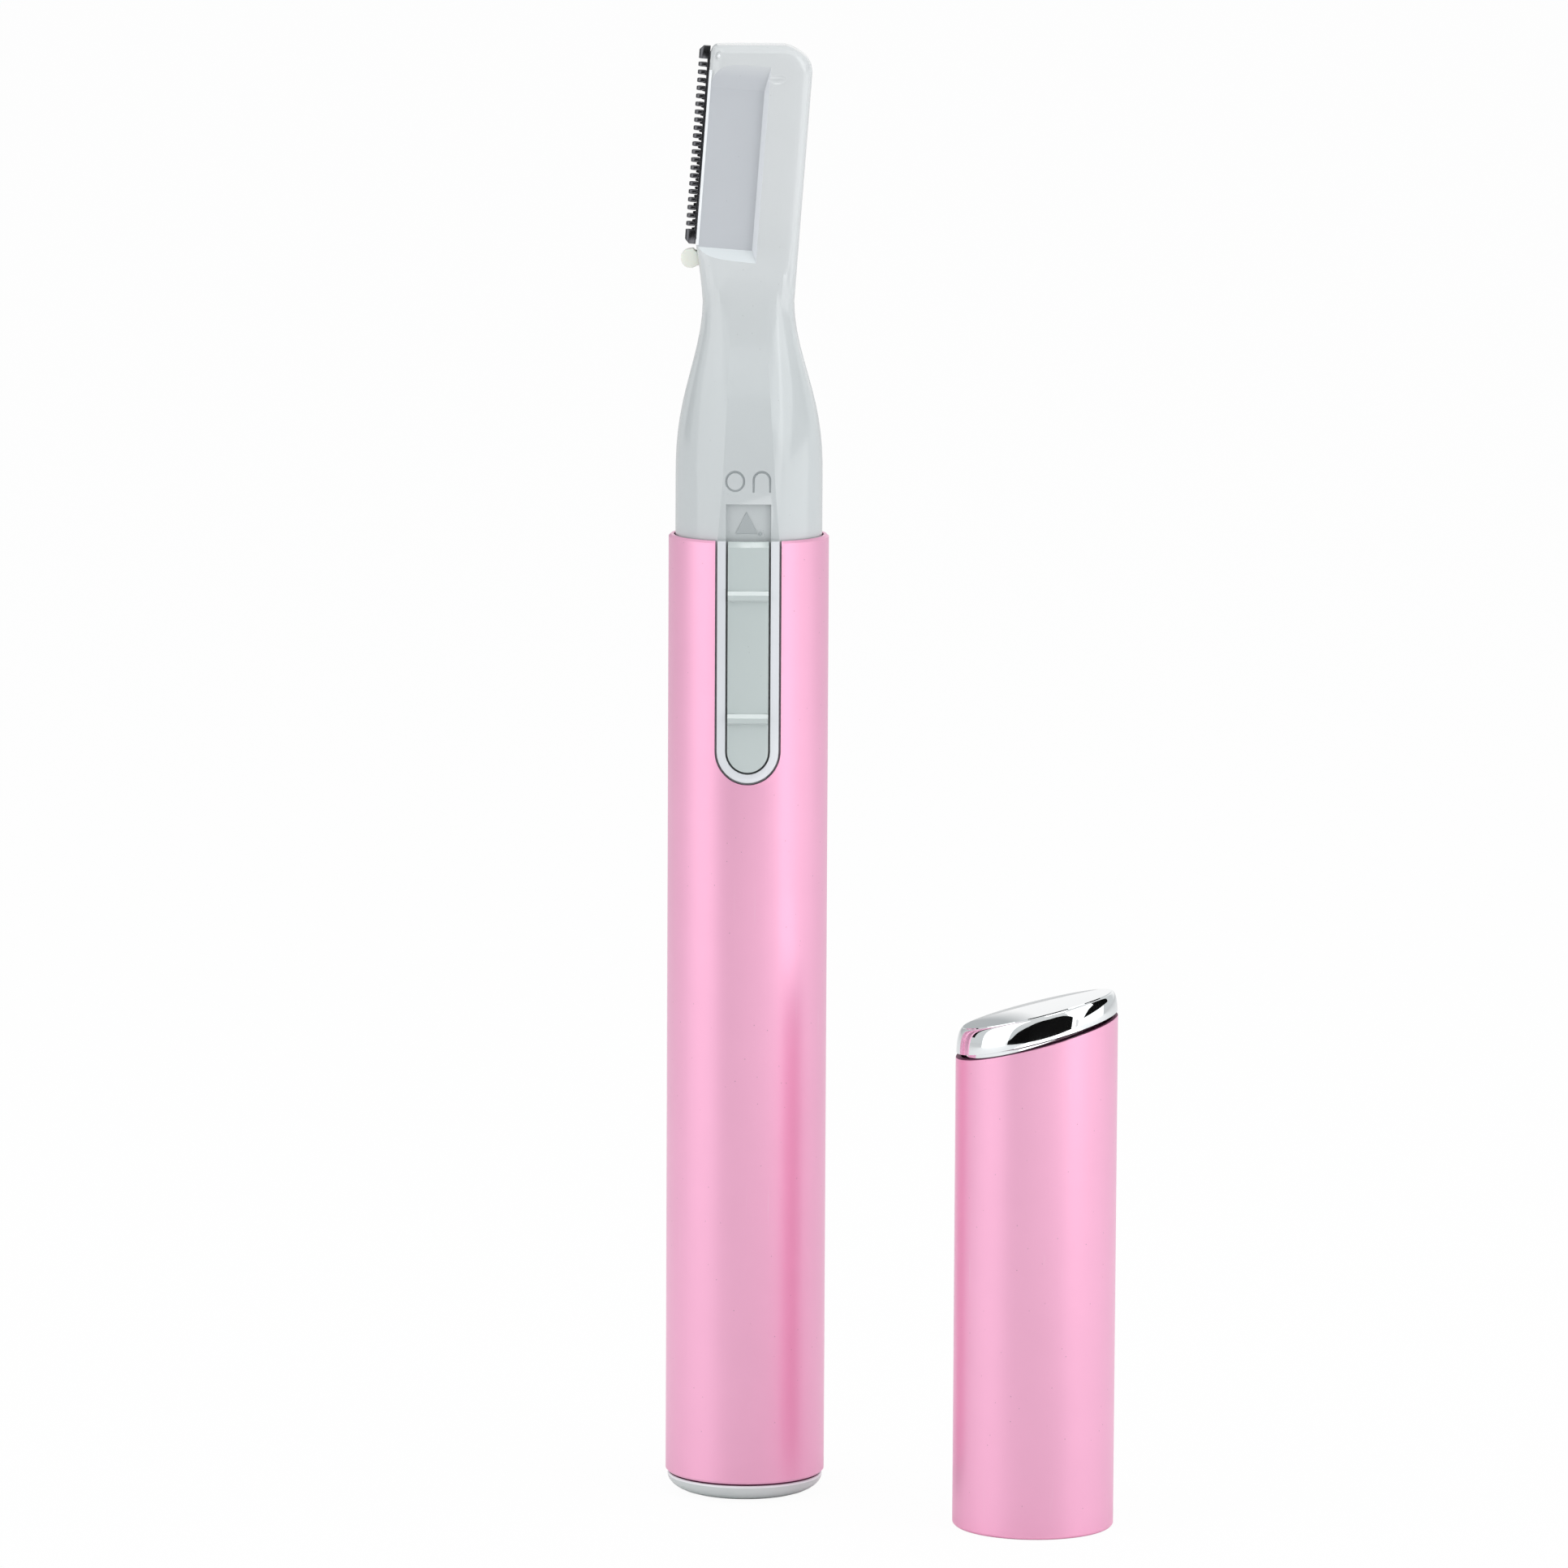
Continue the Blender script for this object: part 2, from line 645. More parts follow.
def rib(z):
    return shape("motor_rib", rod(COLLAR_RADIUS - 0.8 * SHELL_WALL, z, z + RIB_THICKNESS,
                                  steps=TUBE_STEPS))


def panel_recess(side, head_axes):
    """The flat panel beside the comb, with a slope up to the neck at its lower end."""
    top = COMB_LENGTH - PANEL_TOP_BAND
    floor = HEAD_DEPTH - PANEL_DEPTH
    out = HEAD_DEPTH + 2 * PANEL_DEPTH
    slope = PANEL_BEVEL / PANEL_DEPTH
    low = PANEL_BASE - slope * (out - floor)
    loop = [(side * floor, PANEL_BASE), (side * floor, top), (side * out, top),
            (side * out, low)]
    return shape("panel_recess", outline([loop], -REACH, PANEL_WIDTH, "X"), head_axes)


def make_common_body(head_axes):
    """What both shells share: outer form, hollow, ribs, bosses and the head's cavities."""
    body = shape("common_body", body_solid())
    cut(body, shape("neck_hollow", neck_hollow()))
    cut(body, shape("cell_bore", rod(TRAY_RADIUS, TRAY_BOTTOM - REACH, PARTITION_TOP,
                                     steps=TUBE_STEPS)))
    add(body, rib(RIM - RIB_THICKNESS / 2), rib(MOTOR_TOP - 2 * RIB_THICKNESS))
    for side in (-1, 1):
        near = side * (LEVER_THICKNESS / 2 + SEAT_GAP)
        far = side * (WAIST_DEPTH - 0.8 * SHELL_WALL)
        boss = rod(PIVOT_BOSS_RADIUS, min(near, far), max(near, far), "Y",
                   (LEVER_PIVOT_X, PIVOT_Z))
        add(body, shape("pivot_boss", boss))
        cut(body, panel_recess(side, head_axes))
    pocket = outline([motor_outline(2 * HAIR_GAP)], MOTOR_BOTTOM - SEAT_GAP,
                     MOTOR_TOP + SEAT_GAP)
    cut(body, shape("motor_pocket", pocket))
    bore = rod(PIVOT_PIN_RADIUS + HAIR_GAP, -WAIST_DEPTH + SHELL_WALL,
               WAIST_DEPTH - SHELL_WALL, "Y", (LEVER_PIVOT_X, PIVOT_Z))
    cut(body, shape("pivot_bore", bore))
    comb_half = COMB_HALF_THICKNESS + HAIR_GAP
    slot = box((-REACH, -comb_half, FLANGE_LOW - HAIR_GAP),
               (COMB_FLANGE + SEAT_GAP, comb_half, CAVITY_TOP))
    deep = CAVITY_HALF_DEPTH
    room = box((CROTCH_LEFT - CROTCH_WEB - HAIR_GAP, -deep, LIP_BOTTOM - 2 * CUTTER_TRAVEL),
               (CAVITY_RIGHT, deep, CAVITY_TOP - HAIR_GAP / 2))
    swing = FOOT_RADIUS + CUTTER_TRAVEL + HAIR_GAP
    door_deep = CARRIER_HALF_THICKNESS + HAIR_GAP
    door = box((-REACH, -door_deep, FOOT_Z - swing), (CROTCH_X, door_deep, FOOT_Z + swing))
    cavity = shape("carrier_room", room, head_axes)
    add(cavity, shape("comb_slot", slot, head_axes), shape("foot_door", door, head_axes))
    cut(body, cavity)
    mesh = baked(body)
    bpy.data.objects.remove(body, do_unlink=True)
    return smooth(mesh)


def make_front_shell(common):
    shell = part("front_shell", common.copy(), GREY_PLASTIC)
    face = TUBE_RADIUS - BEZEL_SINK
    bezel = shape("bezel", outline([round_end_outline(BEZEL_HALF_WIDTH, BEZEL_ROUND_Z, RIM)],
                                   -REACH, -CHANNEL_FLOOR + HAIR_GAP, "Y"))
    keep(bezel, shape("bezel_face", rod(face, BEZEL_BOTTOM - REACH, RIM + REACH,
                                        steps=2 * TUBE_STEPS)))
    pad_half = BEZEL_HALF_WIDTH - SEAT_GAP
    pad = box((-pad_half, -CHANNEL_FLOOR - SEAT_GAP, BEZEL_BOTTOM - SHELL_WALL),
              (pad_half, -CHANNEL_BACK, CHANNEL_TOP + SHELL_WALL))
    add(shell, bezel, shape("channel_pad", pad))
    channel = outline([round_end_outline(CHANNEL_HALF_WIDTH, BEZEL_ROUND_Z, CHANNEL_TOP)],
                      -REACH, -CHANNEL_FLOOR, "Y")
    cut(shell, shape("channel", channel))
    slot = box((-STEM_HALF_WIDTH - BUTTON_GAP, -REACH, STEM_Z - STEM_HEIGHT / 2 - BUTTON_GAP),
               (STEM_HALF_WIDTH + BUTTON_GAP, -BRIDGE_FRONT,
                STEM_Z + STEM_HEIGHT / 2 + SWITCH_TRAVEL + BUTTON_GAP))
    cut(shell, shape("stem_slot", slot))
    half = box((-REACH, -REACH, FRONT_SHELL_BOTTOM), (REACH, -SHELL_SEAM / 2, HEAD_TOP + REACH))
    keep(shell, shape("front_half", half))


def make_rear_shell(common):
    shell = part("rear_shell", common.copy(), GREY_PLASTIC)
    half = box((-REACH, SHELL_SEAM / 2, TRAY_BOTTOM - REACH), (REACH, REACH, HEAD_TOP + REACH))
    keep(shell, shape("rear_half", half))
    disc_radius = COLLAR_RADIUS - 2 * HAIR_GAP
    floor = rod(disc_radius, TRAY_BOTTOM + HAIR_GAP, TRAY_INSIDE, steps=TUBE_STEPS)
    partition = rod(disc_radius, PARTITION_BOTTOM, PARTITION_TOP, steps=TUBE_STEPS)
    add(shell, shape("tray_floor", floor), shape("partition", partition))
    groove = box((-STRIP_HALF_WIDTH - BUTTON_GAP, CELL_RADIUS, TRAY_INSIDE + HAIR_GAP / 2),
                 (STRIP_HALF_WIDTH + BUTTON_GAP, CELL_RADIUS + 2 * STRIP_THICKNESS + HAIR_GAP,
                  FEED_STRIP_TOP + HAIR_GAP))
    cut(shell, shape("strip_groove", groove))
    window = box((-STRIP_HALF_WIDTH - BUTTON_GAP, -FEED_FRONT - HAIR_GAP,
                  PARTITION_BOTTOM - SEAT_GAP),
                 (STRIP_HALF_WIDTH + BUTTON_GAP, -FEED_BACK + HAIR_GAP,
                  PARTITION_TOP + SEAT_GAP))
    cut(shell, shape("contact_window", window))


# Cell and contacts
def make_battery_cell():
    shoulder = CELL_TOP - CELL_NUB
    edge = SEAT_GAP
    points = [(0.0, CELL_TOP), (CELL_NUB_RADIUS, CELL_TOP), (CELL_NUB_RADIUS, shoulder),
              (CELL_RADIUS - edge, shoulder), (CELL_RADIUS, shoulder - edge),
              (CELL_RADIUS, CELL_BOTTOM + edge), (CELL_RADIUS - edge, CELL_BOTTOM),
              (0.0, CELL_BOTTOM)]
    turned(part("battery_cell", profile(points, False), CELL_JACKET), SMALL_STEPS + ARC_STEPS)


def make_negative_spring():
    """A cone-shaped coil, one unbroken wire."""
    per_turn = SPRING_STEPS
    count = int(SPRING_TURNS * per_turn) + 1
    low = SPRING_BOTTOM + SPRING_WIRE
    high = SPRING_BOTTOM + SPRING_LENGTH - SPRING_WIRE
    curve = bpy.data.curves.new("coil", "CURVE")
    curve.dimensions = "3D"
    curve.bevel_depth = SPRING_WIRE
    curve.bevel_resolution = 1
    curve.use_fill_caps = True
    spline = curve.splines.new("POLY")
    spline.points.add(count - 1)
    for i, point in enumerate(spline.points):
        t = i / (count - 1)
        angle = 2 * math.pi * SPRING_TURNS * t
        radius = mix(SPRING_WIDE, SPRING_NARROW, t)
        point.co = (radius * math.cos(angle), radius * math.sin(angle), mix(low, high, t), 1.0)
    drawn = bpy.data.objects.new("coil", curve)
    CUTTERS.objects.link(drawn)
    bm = bmesh.new()
    bm.from_mesh(baked(drawn))
    bmesh.ops.remove_doubles(bm, verts=bm.verts, dist=1e-7)
    bpy.data.objects.remove(drawn, do_unlink=True)
    bpy.data.curves.remove(curve)
    part("negative_spring", smooth(mesh_from(bm, "coil"), 60), BRIGHT_STEEL)


def bent_strip(name, points, finish, half_width=STRIP_HALF_WIDTH):
    """A flat strip whose (y, z) side view is one bent outline."""
    part(name, outline([points], -half_width, half_width, "X"), finish)


def make_negative_strip():
    inner = CELL_RADIUS + STRIP_THICKNESS / 2 + HAIR_GAP / 2
    outer = inner + STRIP_THICKNESS
    top = FEED_STRIP_TOP
    bottom = STRIP_FOOT
    thick = STRIP_THICKNESS
    bent_strip("negative_strip", [
        (-CONTACT_REACH, bottom), (outer, bottom), (outer, top), (MOTOR_FLAT / 2, top),
        (MOTOR_FLAT / 2, top - thick), (inner, top - thick), (inner, bottom + thick),
        (-CONTACT_REACH, bottom + thick)], BRIGHT_STEEL)


def make_positive_contact():
    front = -FEED_FRONT
    back = -FEED_BACK
    bottom = CONTACT_BOTTOM
    thick = STRIP_THICKNESS
    bent_strip("positive_contact", [
        (front, bottom), (CONTACT_REACH, bottom), (CONTACT_REACH, bottom + thick),
        (back, bottom + thick), (back, CELL_STRIP_TOP), (front, CELL_STRIP_TOP)], BRIGHT_STEEL)


def make_motor_feed_strip():
    front = -FEED_FRONT
    back = -FEED_BACK
    top = FEED_STRIP_TOP
    thick = STRIP_THICKNESS
    bent_strip("motor_feed_strip", [
        (front, FEED_STRIP_BOTTOM), (back, FEED_STRIP_BOTTOM), (back, top - thick),
        (-MOTOR_FLAT / 4, top - thick), (-MOTOR_FLAT / 4, top), (front, top)], COPPER)


# Switch
def make_switch_slider():
    face = TUBE_RADIUS
    under = CHANNEL_FLOOR + BUTTON_GAP
    body = outline([round_end_outline(BUTTON_HALF_WIDTH, BEZEL_ROUND_Z, BUTTON_TOP)],
                   -REACH, -under, "Y")
    slider = part("switch_slider", body, BUTTON_PLASTIC)
    keep(slider, shape("button_face", rod(face, BEZEL_BOTTOM - REACH, RIM + REACH,
                                          steps=2 * TUBE_STEPS)))
    for i in range(2):
        top = RIM - RIDGE_TOP_DROP - i * RIDGE_SPACING
        bottom = top - RIDGE_LENGTH
        crest = -face - RIDGE_HEIGHT
        loop = [(-under - BUTTON_GAP, bottom), (-under - BUTTON_GAP, top), (-face, top),
                (crest, mix(top, bottom, 0.35)), (crest, mix(top, bottom, 0.8)),
                (-face, bottom)]
        ridge = outline([loop], -BUTTON_HALF_WIDTH, BUTTON_HALF_WIDTH, "X")
        add(slider, shape("button_ridge", ridge))
    stem = box((-STEM_HALF_WIDTH, -under - BUTTON_GAP, STEM_Z - STEM_HEIGHT / 2),
               (STEM_HALF_WIDTH, -KEEPER_BACK - HAIR_GAP, STEM_Z + STEM_HEIGHT / 2))
    keeper = box((-KEEPER_HALF_WIDTH, -KEEPER_FRONT, STEM_Z - KEEPER_HEIGHT / 2),
                 (KEEPER_HALF_WIDTH, -KEEPER_BACK, STEM_Z + KEEPER_HEIGHT / 2))
    add(slider, shape("stem", stem), shape("keeper", keeper))


def make_switch_contact_bridge():
    """A copper strip with its two ends turned towards the fixed strips."""
    front = -BRIDGE_FRONT
    back = -BRIDGE_BACK
    bent_strip("switch_contact_bridge", [
        (front, BRIDGE_BOTTOM), (back, BRIDGE_BOTTOM), (back, BRIDGE_TOP),
        (front, BRIDGE_TOP)], COPPER, KEEPER_HALF_WIDTH)


# Motor
def make_motor_can():
    wall = MOTOR_WALL
    bottom = MOTOR_BOTTOM + END_BELL + HAIR_GAP
    can = part("motor_can", outline([motor_outline()], bottom, MOTOR_TOP), CAN_STEEL)
    inside = outline([motor_outline(-wall)], bottom - REACH, MOTOR_TOP - wall)
    hole = rod(BUSH_RADIUS + HAIR_GAP, MOTOR_TOP - REACH, MOTOR_TOP + REACH,
               middle=(0.0, MOTOR_BACK))
    cut(can, shape("can_inside", inside), shape("bush_hole", hole))
    smooth(can.data)


def make_motor_end_bell():
    bell = part("motor_end_bell", outline([motor_outline()], MOTOR_BOTTOM,
                                          MOTOR_BOTTOM + END_BELL), DARK_PLASTIC)
    plug = outline([motor_outline(-MOTOR_WALL - 2 * HAIR_GAP)], MOTOR_BOTTOM + END_BELL / 2,
                   MOTOR_BOTTOM + 2 * END_BELL - HAIR_GAP)
    add(bell, shape("bell_plug", plug))
    bearing = rod(SHAFT_RADIUS + HAIR_GAP, MOTOR_BOTTOM + END_BELL / 2, MOTOR_BOTTOM + REACH,
                  middle=(0.0, MOTOR_BACK))
    cut(bell, shape("bell_bearing", bearing))
    smooth(bell.data)


def make_motor_bearing_bush():
    rings = [ring_loop(0.0, MOTOR_BACK, BUSH_RADIUS),
             ring_loop(0.0, MOTOR_BACK, SHAFT_RADIUS + HAIR_GAP, SMALL_STEPS)]
    part("motor_bearing_bush", smooth(outline(rings, MOTOR_TOP - 4 * MOTOR_WALL, BUSH_TOP)),
         BRASS)


def make_magnets():
    outer = MOTOR_RADIUS - MOTOR_WALL - BUTTON_GAP
    inner = outer - MAGNET_THICKNESS
    turn = math.degrees(MAGNET_HALF_ANGLE)
    low = MOTOR_BOTTOM + 3 * END_BELL - 2 * SEAT_GAP
    high = MOTOR_TOP - 3 * RIB_THICKNESS / 2
    for name, facing in (("motor_magnet_right", 0.0), ("motor_magnet_left", 180.0)):
        loop = (arc(0.0, MOTOR_BACK, outer, facing - turn, facing + turn)
                + arc(0.0, MOTOR_BACK, inner, facing + turn, facing - turn))
        part(name, smooth(outline([loop], low, high)), MAGNET_GREY)


def make_brushes():
    near = COMMUTATOR_RADIUS + 2 * HAIR_GAP
    far = MOTOR_RADIUS - MOTOR_WALL - 4 * SEAT_GAP
    for name, side in (("motor_brush_right", 1), ("motor_brush_left", -1)):
        low = (min(side * near, side * far), MOTOR_BACK - SHAFT_RADIUS, BRUSH_LOW)
        high = (max(side * near, side * far), MOTOR_BACK + SHAFT_RADIUS, BRUSH_LOW + BRUSH_HEIGHT)
        part(name, box(low, high), COPPER)


# Rotor, modelled about its own axis
def make_motor_shaft(axis):
    low = END_BELL / 2 + 2 * HAIR_GAP
    high = CAM_PIN_BOTTOM - MOTOR_BOTTOM - SEAT_GAP - HAIR_GAP
    part("motor_shaft", rod(SHAFT_RADIUS, low, high, steps=SHAFT_STEPS), BRIGHT_STEEL, axis)


def make_commutator(axis):
    low = BRUSH_LOW - MOTOR_BOTTOM
    loops = [ring_loop(0.0, 0.0, COMMUTATOR_RADIUS),
             ring_loop(0.0, 0.0, SHAFT_RADIUS + HAIR_GAP, SHAFT_STEPS)]
    part("commutator", smooth(outline(loops, low, ROTOR_BASE - MOTOR_BOTTOM - SEAT_GAP)),
         COPPER, axis)


def make_rotor_core(axis):
    """A star of laminations with wide pole tips."""
    half_angle = math.degrees(POLE_HALF_ANGLE)
    tip = ROTOR_RADIUS - POLE_TIP
    hub = SHAFT_RADIUS + 2 * POLE_NECK
    loop = []
    for i in range(ROTOR_POLES):
        facing = 360.0 * i / ROTOR_POLES
        neck_tip = math.degrees(math.asin(POLE_NECK / tip))
        neck_hub = math.degrees(math.asin(POLE_NECK / hub))
        loop += arc(0.0, 0.0, hub, facing - neck_hub, facing - neck_hub, 1)[:1]
        loop += arc(0.0, 0.0, tip, facing - neck_tip, facing - half_angle, 3)
        loop += arc(0.0, 0.0, ROTOR_RADIUS, facing - half_angle, facing + half_angle)
        loop += arc(0.0, 0.0, tip, facing + half_angle, facing + neck_tip, 3)
        loop += arc(0.0, 0.0, hub, facing + neck_hub, facing + neck_hub, 1)[:1]
    hole = ring_loop(0.0, 0.0, SHAFT_RADIUS + HAIR_GAP, SHAFT_STEPS)
    part("rotor_core", outline([loop, hole], ROTOR_BASE + 2 * SEAT_GAP - MOTOR_BOTTOM,
                               ROTOR_TOP - 2 * SEAT_GAP - MOTOR_BOTTOM), CAN_STEEL, axis)


def make_rotor_windings(axis):
    """One coil round the neck of each pole."""
    inner = POLE_NECK + HAIR_GAP
    outer = inner + WINDING
    low = ROTOR_BASE - MOTOR_BOTTOM
    high = ROTOR_TOP - MOTOR_BOTTOM
    hole_low = low + 2 * SEAT_GAP - HAIR_GAP
    hole_high = high - 2 * SEAT_GAP + HAIR_GAP
    near = SHAFT_RADIUS + 2 * POLE_NECK + HAIR_GAP
    far = math.sqrt((ROTOR_RADIUS - POLE_TIP - 2 * HAIR_GAP) ** 2 - outer ** 2)
    loops = [[(-outer, low), (outer, low), (outer, high), (-outer, high)],
             [(-inner, hole_low), (inner, hole_low), (inner, hole_high), (-inner, hole_high)]]
    for i in range(ROTOR_POLES):
        coil = part(f"rotor_winding_{i + 1}", outline(loops, near, far, "X"), COPPER, axis)
        coil.rotation_euler = (0.0, 0.0, 2 * math.pi * i / ROTOR_POLES)


def make_eccentric_cam(axis):
    low = CAM_BOTTOM - MOTOR_BOTTOM
    high = CAM_PIN_BOTTOM - MOTOR_BOTTOM
    cam = part("eccentric_cam", rod(CAM_HUB_RADIUS, low, high), WHITE_PLASTIC, axis)
    bore = rod(SHAFT_RADIUS + HAIR_GAP, low - REACH, high - SEAT_GAP, steps=SHAFT_STEPS)
    cut(cam, shape("cam_bore", bore, axis))
    pin = rod(CAM_PIN_RADIUS, high - SEAT_GAP / 2, CAM_PIN_TOP - MOTOR_BOTTOM,
              middle=(0.0, CAM_OFFSET), steps=SHAFT_STEPS)
    add(cam, shape("cam_pin", pin, axis))


# Lever, modelled about its pivot
def head_point(x, z):
    """A point of the head's own axes, in the world's x and z."""
    c = math.cos(HEAD_LEAN)
    s = math.sin(HEAD_LEAN)
    return -BLADE_OFFSET + c * x + s * z, HEAD_BASE - s * x + c * z


def lever_point(x, z):
    """A point of the head's own axes, seen from the lever's pivot."""
    wx, wz = head_point(x, z)
    return wx - LEVER_PIVOT_X, wz - PIVOT_Z


def make_drive_lever(pivot):
    """A bell crank: a fork below, a hub on the pin and a side arm to the carrier."""
    fork = -LEVER_PIVOT_X
    foot = FORK_BOTTOM - PIVOT_Z
    crotch = CAM_PIN_TOP - PIVOT_Z + TIP_RADIUS + SEAT_GAP
    yoke = crotch + FORK_PRONG
    wide = FORK_HALF_SLOT + FORK_PRONG
    half = ARM_HALF_WIDTH
    hub = LEVER_HUB_RADIUS
    elbow = lever_point(CROTCH_X + 3.6 * TIP_RADIUS, TIP_Z)
    tip = lever_point(CROTCH_X, TIP_Z)
    thin = 0.7 * TIP_RADIUS
    lean = -math.degrees(HEAD_LEAN)
    loop = [(fork + wide, foot), (fork + wide, crotch), (fork + half + thin, yoke)]
    loop += arc(0.0, 0.0, hub, -65.0, 95.0)
    loop += [(elbow[0] + thin, elbow[1] + thin), (elbow[0], elbow[1] + thin)]
    loop += arc(tip[0], tip[1], TIP_RADIUS, 46.0 + lean, 314.0 + lean)
    loop += [(elbow[0] - thin / 2, elbow[1] - thin)]
    loop += arc(0.0, 0.0, hub, 165.0, 230.0, 3)
    loop += [(fork - half, yoke), (fork - wide, crotch), (fork - wide, foot),
             (fork - FORK_HALF_SLOT, foot), (fork - FORK_HALF_SLOT, crotch),
             (fork + FORK_HALF_SLOT, crotch), (fork + FORK_HALF_SLOT, foot)]
    hole = ring_loop(0.0, 0.0, PIVOT_PIN_RADIUS + HAIR_GAP)
    thick = LEVER_THICKNESS / 2
    part("drive_lever", outline([loop, hole], -thick, thick, "Y"), WHITE_PLASTIC, pivot)


def make_lever_pivot_pin():
    reach = WAIST_DEPTH - SHELL_WALL - HAIR_GAP
    part("lever_pivot_pin", rod(PIVOT_PIN_RADIUS, -reach, reach, "Y",
                                (LEVER_PIVOT_X, PIVOT_Z), SHAFT_STEPS), BRIGHT_STEEL)


# Comb and cutter, modelled on the head's own axes
def make_comb_blade(head_axes):
    """Thin steel folded over the cutter, slotted across the fold into teeth."""
    half = COMB_HALF_THICKNESS
    fold = -COMB_REACH + half
    inner = half - COMB_STEEL
    inner_fold = -COMB_REACH + COMB_STEEL + inner
    section = arc(fold, 0.0, half, 270.0, 90.0, 4) + [(COMB_FLANGE, half),
                                                      (COMB_FLANGE, inner)]
    section += arc(inner_fold, 0.0, inner, 90.0, 270.0, 2)
    section += [(COMB_FLANGE, -inner), (COMB_FLANGE, -half)]
    comb = part("comb_blade", outline([section], COMB_LOW_END, COMB_LENGTH), BLADE_STEEL,
                head_axes)
    slots = bmesh.new()
    for i in range(COMB_TEETH + 1):
        z = COMB_FIRST_TOOTH + (i - 0.5) * COMB_PITCH
        made = bmesh.ops.create_cube(slots, size=1.0)["verts"]
        fit = (Matrix.Translation((-COMB_ROOT - REACH / 2, 0.0, z))
               @ Matrix.Diagonal((REACH, REACH, COMB_SLOT, 1.0)))
        bmesh.ops.transform(slots, matrix=fit, verts=made)
    cut(comb, shape("comb_slots", mesh_from(slots, "comb_slots"), head_axes))
    for name, low, high in (("comb_low_shoulder", COMB_LOW_END - REACH, FLANGE_LOW),
                            ("comb_high_shoulder", FLANGE_HIGH, COMB_LENGTH + REACH)):
        corner = box((-HAIR_GAP, -REACH, low), (REACH, REACH, high))
        cut(comb, shape(name, corner, head_axes))


def make_cutter_blade(head_axes):
    low = FLANGE_LOW + CUTTER_TRAVEL + HAIR_GAP
    high = FLANGE_HIGH - CUTTER_TRAVEL - HAIR_GAP
    loop = [(CUTTER_WIDTH, high), (-CUTTER_TOOTH_ROOT, high)]
    for i in reversed(range(COMB_TEETH)):
        z = COMB_FIRST_TOOTH + i * COMB_PITCH
        loop += [(-CUTTER_TOOTH_ROOT, z + CUTTER_TOOTH_HALF),
                 (-CUTTER_REACH, z + CUTTER_TOOTH_HALF / 2),
                 (-CUTTER_REACH, z - CUTTER_TOOTH_HALF / 2),
                 (-CUTTER_TOOTH_ROOT, z - CUTTER_TOOTH_HALF)]
    loop += [(-CUTTER_TOOTH_ROOT, low), (CUTTER_WIDTH, low)]
    part("cutter_blade", outline([loop], -CUTTER_HALF_THICKNESS, CUTTER_HALF_THICKNESS, "Y"),
         BLADE_STEEL, head_axes)


def make_cutter_carrier(head_axes):
    """A bar behind the cutter, with a round foot outside and a crotch for the lever."""
    top = FLANGE_HIGH - 2 * CUTTER_TRAVEL
    stem_top = FOOT_Z + STEM_BAR_HALF
    web = CROTCH_LEFT - CROTCH_WEB
    turn = math.degrees(math.asin(STEM_BAR_HALF / FOOT_RADIUS))
    lip_right = CROTCH_X + HAIR_GAP
    loop = [(web, LIP_BOTTOM), (lip_right, LIP_BOTTOM), (lip_right, CROTCH_BOTTOM),
            (CROTCH_LEFT, CROTCH_BOTTOM), (CROTCH_LEFT, CROTCH_TOP),
            (CARRIER_RIGHT, CROTCH_TOP), (CARRIER_RIGHT, top), (CARRIER_LEFT, top),
            (CARRIER_LEFT, stem_top)]
    loop += arc(FOOT_X, FOOT_Z, FOOT_RADIUS, turn, 360.0 - 0.9 * turn, 16)
    loop += [(web, CROTCH_TOP - HAIR_GAP)]
    half = CARRIER_HALF_THICKNESS
    carrier = part("cutter_carrier", outline([loop], -half, half, "Y"), WHITE_PLASTIC,
                   head_axes)
    grip = CUTTER_HALF_THICKNESS + HAIR_GAP
    slit = box((0.0, -grip, FLANGE_LOW), (CUTTER_WIDTH + BUTTON_GAP, grip, top + REACH))
    cut(carrier, shape("cutter_slit", slit, head_axes))


def make_blade_spring(head_axes):
    """A bowed leaf: its ends rest on the shells and its middle on the carrier."""
    middle = (FLANGE_LOW + FLANGE_HIGH) / 2
    crest = CARRIER_RIGHT + BUTTON_GAP
    steps = 2 * ARC_STEPS
    near = []
    far = []
    for i in range(steps + 1):
        t = 2 * i / steps - 1
        x = crest + LEAF_BOW * t * t
        z = middle + LEAF_HALF_LENGTH * t
        near.append((x, z))
        far.append((x + LEAF_THICKNESS, z))
    part("blade_spring", outline([far + near[::-1]], -LEAF_HALF_WIDTH, LEAF_HALF_WIDTH, "Y"),
         BRIGHT_STEEL, head_axes)


# Cap, modelled about its own axis
def slant_frame(rise):
    """Axes on the cap's slanted end, raised along its slope's normal."""
    turn = Matrix.Rotation(-CAP_SLANT, 4, "Y")
    return Matrix.Translation((0.0, 0.0, CAP_MIDDLE + rise)) @ turn


def above_slant(name, rise, axis):
    """Everything above the slanted plane, as a cutter."""
    mesh = box((-2 * REACH, -2 * REACH, 0.0), (2 * REACH, 2 * REACH, 4 * REACH))
    mesh.transform(slant_frame(rise))
    return shape(name, mesh, axis)


def make_cap_tube(axis):
    edge = RIM_CHAMFER
    top = CAP_MIDDLE + REACH
    points = [(TUBE_BORE, top), (TUBE_RADIUS, top), (TUBE_RADIUS, edge),
              (TUBE_RADIUS - edge, 0.0), (TUBE_BORE, 0.0)]
    tube = turned(part("cap_tube", profile(points, True), PINK_ALUMINIUM, axis))
    cut(tube, above_slant("cap_slant", 0.0, axis))


